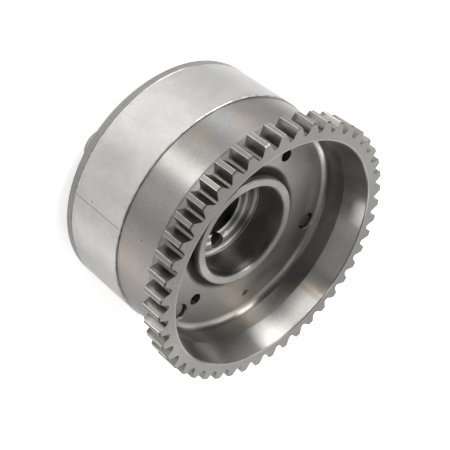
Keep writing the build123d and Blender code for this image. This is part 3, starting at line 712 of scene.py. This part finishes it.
def makePlainMetal(name, s):
    # colour = two tones by stain and lathe bands, with edge rings (worn, or painted highlight and shade),
    # painted highlight spots, painted shade under the cover and painted shade down a bore with painted light
    # bands, where a look has them;
    # roughness = base value plus grain; height = lathe lines and grain
    material, t, shader, vector = startMaterial(name, s["metallic"])
    spot, lines, mottle = addPatterns(t, vector, s["patterns"])
    light = t.sum(t.times(mottle["Stain"], s["stainShare"]), (lines["Bands"], s["bandShare"]))
    colour = t.mix(light, s["dark"], s["light"])
    for radius, height, width, tone in s["edges"]:
        colour = t.mix(addEdge(t, vector, radius, height, width, s["ragged"]), colour, tone)
    # painted highlight spots
    for middle, reach, tone in s["highlightSpots"]:
        colour = addPatch(t, colour, spot, middle, reach, s["spotCore"], 1.0, tone)
    # painted shade on the screw heads under the cover's edge
    if "coverShade" in s:
        coverShade = t.smooth(spot["Height"], s["coverShadeFrom"], s["coverShadeTo"])
        colour = t.mix(t.times(coverShade, t.within(spot, s["coverShadeEnd"])), colour, s["coverShade"])
    # painted shade down the bore, with painted highlight and shade bands by turn
    if "depthShade" in s:
        low, high, factor = s["depthShade"]
        shade = t.smooth(spot["Height"], low, high, factor, 1.0)
        colour = t.scale(colour, addPaintedLightBands(t, shade, spot["Turn"], s["paintedLightBands"]))
    roughness = t.sum(s["rough"], (mottle["Grain"], s["grainRough"]))
    height = t.sum(lines["Lines"], (mottle["Grain"], s["grainHeight"]))
    finishMaterial(t, shader, colour, roughness, height, s["depth"])
    return material


materials = {"bellSteel": makeBellSteel(bellLook, gapLook)}
materials["statorAluminium"] = makeStatorAluminium(statorLook)
for name, look in plainLooks.items():
    materials[name] = makePlainMetal(name, {**plainShared, **look})
print("materials made:", len(materials))

# Which finish each CAD piece wears
finishes = {
    "sprocket_bell": "bellSteel", "stator_ring": "statorAluminium", "cover_plate": "coverSteel",
    "clamp_screws": "screwSteel", "locating_dowels": "dowelSteel", "lock_seat_bush": "bushSteel",
    "vane_rotor": "rotorAluminium", "locking_pin": "pinSteel", "lock_spring": "springSteel",
    "lock_spring_seat": "seatSteel",
}
for number in range(1, part["vanes"] + 1):
    finishes[f"lobe_seal_{number}"] = finishes[f"vane_seal_{number}"] = "sealPlastic"
    finishes[f"lobe_seal_spring_{number}"] = finishes[f"vane_seal_spring_{number}"] = "springSteel"
for name, piece in nodes.items():
    piece.data.materials.clear()
    piece.data.materials.append(materials[finishes[name]])
print("finishes given to the CAD pieces")

# floor: a lit table that glows all round the object, but not under it: a painted contact shadow there and a
# painted soft shadow beside it
floorSet = {
    "half": 1.5, "cells": 8, "tone": rgb(0.80, 0.80, 0.80), "shade": rgb(0.78, 0.78, 0.78),
    "paper": {"size": 300.0, "detail": 3.0}, "rough": 0.7, "paperRough": 0.1, "depth": 0.00005,
    # strength of the glow, and the radii in metres between which it begins
    "glow": 0.62, "glowFrom": 0.029, "glowTo": 0.039,
    # a soft shade beside the object: turn, half width in degrees, reach in metres, share
    "shadeTurn": 112.0, "shadeWidth": 50.0, "shadeReach": 0.12, "shadeShare": 0.34,
}


def makePaleFloor(s):
    # colour = two pale tones by noise; glow = from one radius on, less the shade, which is strongest close by
    material, t, shader, vector = startMaterial("paleFloor", 0.0)
    paper = t.noise(vector, **s["paper"])
    colour = t.mix(paper, s["shade"], s["tone"])
    # The floor lies at z = 0, so a point's distance from the origin is its radius
    radius = t.add("ShaderNodeVectorMath", {0: vector}, operation="LENGTH").outputs["Value"]
    turn = t.group(groups["place"], {"Vector": vector})["Turn"]
    shade = t.times(t.smooth(t.apart(turn, s["shadeTurn"]), 0.0, s["shadeWidth"], 1.0, 0.0),
                    t.smooth(radius, s["glowTo"], s["shadeReach"], 1.0, 0.0))
    # the glow left out under the object and dimmed beside it is a painted shadow
    glow = t.times(t.smooth(radius, s["glowFrom"], s["glowTo"]), t.sum(1.0, (shade, -s["shadeShare"])))
    t.give(t.mix(glow, rgb(0, 0, 0), rgb(1, 1, 1)), shader.inputs["Emission Color"])
    shader.inputs["Emission Strength"].default_value = s["glow"]
    finishMaterial(t, shader, colour, t.sum(s["rough"], (paper, s["paperRough"])), paper, s["depth"])
    return material


def makeFloor(s):
    # A flat sheet: x and y run over a grid, z = 0
    count = s["cells"] + 1
    side = np.linspace(-s["half"], s["half"], count)
    x, y = np.meshgrid(side, side, indexing="ij")
    points = np.stack([x.ravel(), y.ravel(), np.zeros(x.size)], axis=1)
    first = (np.arange(s["cells"])[:, None] * count + np.arange(s["cells"])[None, :]).ravel()
    quads = np.stack([first, first + count, first + count + 1, first + 1], axis=1)
    mesh = bpy.data.meshes.new("floor")
    mesh.from_pydata(points.tolist(), [], quads.tolist())
    mesh.materials.append(makePaleFloor(s))
    floor = bpy.data.objects.new("floor", mesh)
    bpy.context.scene.collection.objects.link(floor)


makeFloor(floorSet)
print("floor laid")
